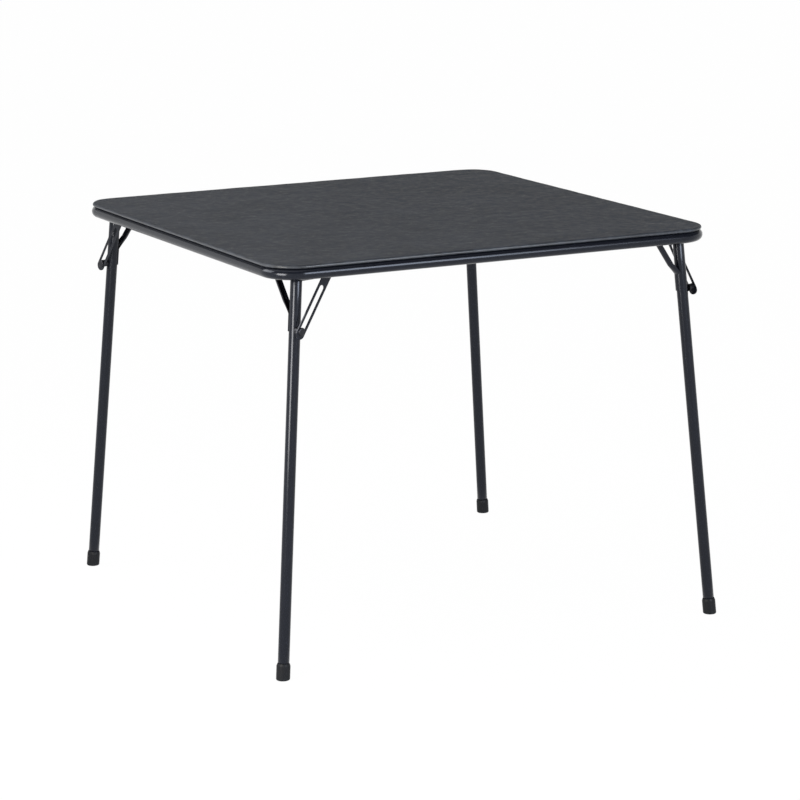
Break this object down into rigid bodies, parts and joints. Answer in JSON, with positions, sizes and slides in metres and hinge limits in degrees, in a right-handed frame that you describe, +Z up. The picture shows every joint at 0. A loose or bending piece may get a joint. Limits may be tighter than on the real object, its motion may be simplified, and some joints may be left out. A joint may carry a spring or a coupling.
{
  "type": "folding card table",
  "caption": "Square folding card table: padded vinyl top on a tube frame with rounded corners, and splayed tube legs that fold flat under the top, each with a strut and slotted lock link.",
  "frame": {"origin": "on the floor, under the centre of the square top", "axes": "+Z up; +X along the front edge of the top, to the right seen from the front; +Y towards the back edge"},
  "size_m": [0.8798, 0.8798, 0.71],
  "materials": {
    "vinyl": "semi-matte grained vinyl",
    "frame_paint": "satin grey powder coat",
    "cap_plastic": "matte moulded plastic",
    "board": "raw hardboard",
    "foam": "foam sheet",
    "plated_steel": "dark plated"
  },
  "bodies": {
    "table_top": {"frame_rail": "frame_paint", "top_board": "board", "top_pad": "foam", "top_cover": "vinyl", "panel_screws": "plated_steel", "front_left_bracket": "frame_paint", "front_left_hinge_rod": "plated_steel", "front_left_link_pivot": "plated_steel", "front_right_bracket": "frame_paint", "front_right_hinge_rod": "plated_steel", "front_right_link_pivot": "plated_steel", "back_right_bracket": "frame_paint", "back_right_hinge_rod": "plated_steel", "back_right_link_pivot": "plated_steel", "back_left_bracket": "frame_paint", "back_left_hinge_rod": "plated_steel", "back_left_link_pivot": "plated_steel"},
    "front_left_leg_body": {"front_left_leg": "frame_paint", "front_left_leg_strut": "frame_paint", "front_left_foot_cap": "cap_plastic"},
    "front_left_link_body": {"front_left_lock_link": "frame_paint"},
    "front_left_rivet_body": {"front_left_lock_rivet": "plated_steel"},
    "front_right_leg_body": {"front_right_leg": "frame_paint", "front_right_leg_strut": "frame_paint", "front_right_foot_cap": "cap_plastic"},
    "front_right_link_body": {"front_right_lock_link": "frame_paint"},
    "front_right_rivet_body": {"front_right_lock_rivet": "plated_steel"},
    "back_right_leg_body": {"back_right_leg": "frame_paint", "back_right_leg_strut": "frame_paint", "back_right_foot_cap": "cap_plastic"},
    "back_right_link_body": {"back_right_lock_link": "frame_paint"},
    "back_right_rivet_body": {"back_right_lock_rivet": "plated_steel"},
    "back_left_leg_body": {"back_left_leg": "frame_paint", "back_left_leg_strut": "frame_paint", "back_left_foot_cap": "cap_plastic"},
    "back_left_link_body": {"back_left_lock_link": "frame_paint"},
    "back_left_rivet_body": {"back_left_lock_rivet": "plated_steel"}
  },
  "joints": [
    {"name": "front_left_fold", "type": "hinge", "parent": "table_top", "child": "front_left_leg_body", "pos_m": [-0.372, -0.386, 0.687], "axis": [0.2588, -0.9659, 0], "range_deg": [0, 95.4]},
    {"name": "front_left_link_swing", "type": "hinge", "parent": "table_top", "child": "front_left_link_body", "pos_m": [-0.3182, -0.39747, 0.687], "axis": [0.2588, -0.9659, 0], "range_deg": [0, 118.59]},
    {"name": "front_left_rivet_slide", "type": "slide", "parent": "front_left_link_body", "child": "front_left_rivet_body", "axis": [0.5363, 0.1437, 0.8317], "range_m": [0, 0.06675]},
    {"name": "front_right_fold", "type": "hinge", "parent": "table_top", "child": "front_right_leg_body", "pos_m": [0.386, -0.372, 0.687], "axis": [0.9659, 0.2588, 0], "range_deg": [0, 95.4]},
    {"name": "front_right_link_swing", "type": "hinge", "parent": "table_top", "child": "front_right_link_body", "pos_m": [0.39747, -0.3182, 0.687], "axis": [0.9659, 0.2588, 0], "range_deg": [0, 118.59]},
    {"name": "front_right_rivet_slide", "type": "slide", "parent": "front_right_link_body", "child": "front_right_rivet_body", "axis": [-0.1437, 0.5363, 0.8317], "range_m": [0, 0.06675]},
    {"name": "back_right_fold", "type": "hinge", "parent": "table_top", "child": "back_right_leg_body", "pos_m": [0.372, 0.386, 0.687], "axis": [-0.2588, 0.9659, 0], "range_deg": [0, 95.4]},
    {"name": "back_right_link_swing", "type": "hinge", "parent": "table_top", "child": "back_right_link_body", "pos_m": [0.3182, 0.39747, 0.687], "axis": [-0.2588, 0.9659, 0], "range_deg": [0, 118.59]},
    {"name": "back_right_rivet_slide", "type": "slide", "parent": "back_right_link_body", "child": "back_right_rivet_body", "axis": [-0.5363, -0.1437, 0.8317], "range_m": [0, 0.06675]},
    {"name": "back_left_fold", "type": "hinge", "parent": "table_top", "child": "back_left_leg_body", "pos_m": [-0.386, 0.372, 0.687], "axis": [-0.9659, -0.2588, 0], "range_deg": [0, 95.4]},
    {"name": "back_left_link_swing", "type": "hinge", "parent": "table_top", "child": "back_left_link_body", "pos_m": [-0.39747, 0.3182, 0.687], "axis": [-0.9659, -0.2588, 0], "range_deg": [0, 118.59]},
    {"name": "back_left_rivet_slide", "type": "slide", "parent": "back_left_link_body", "child": "back_left_rivet_body", "axis": [0.1437, -0.5363, 0.8317], "range_m": [0, 0.06675]}
  ],
  "couplings": [
    {"joint": "front_left_link_swing", "follows": "front_left_fold", "ratio": 1.243},
    {"joint": "front_left_rivet_slide", "follows": "front_left_fold", "m_per_rad": 0.040087},
    {"joint": "front_right_link_swing", "follows": "front_right_fold", "ratio": 1.243},
    {"joint": "front_right_rivet_slide", "follows": "front_right_fold", "m_per_rad": 0.040087},
    {"joint": "back_right_link_swing", "follows": "back_right_fold", "ratio": 1.243},
    {"joint": "back_right_rivet_slide", "follows": "back_right_fold", "m_per_rad": 0.040087},
    {"joint": "back_left_link_swing", "follows": "back_left_fold", "ratio": 1.243},
    {"joint": "back_left_rivet_slide", "follows": "back_left_fold", "m_per_rad": 0.040087}
  ]
}
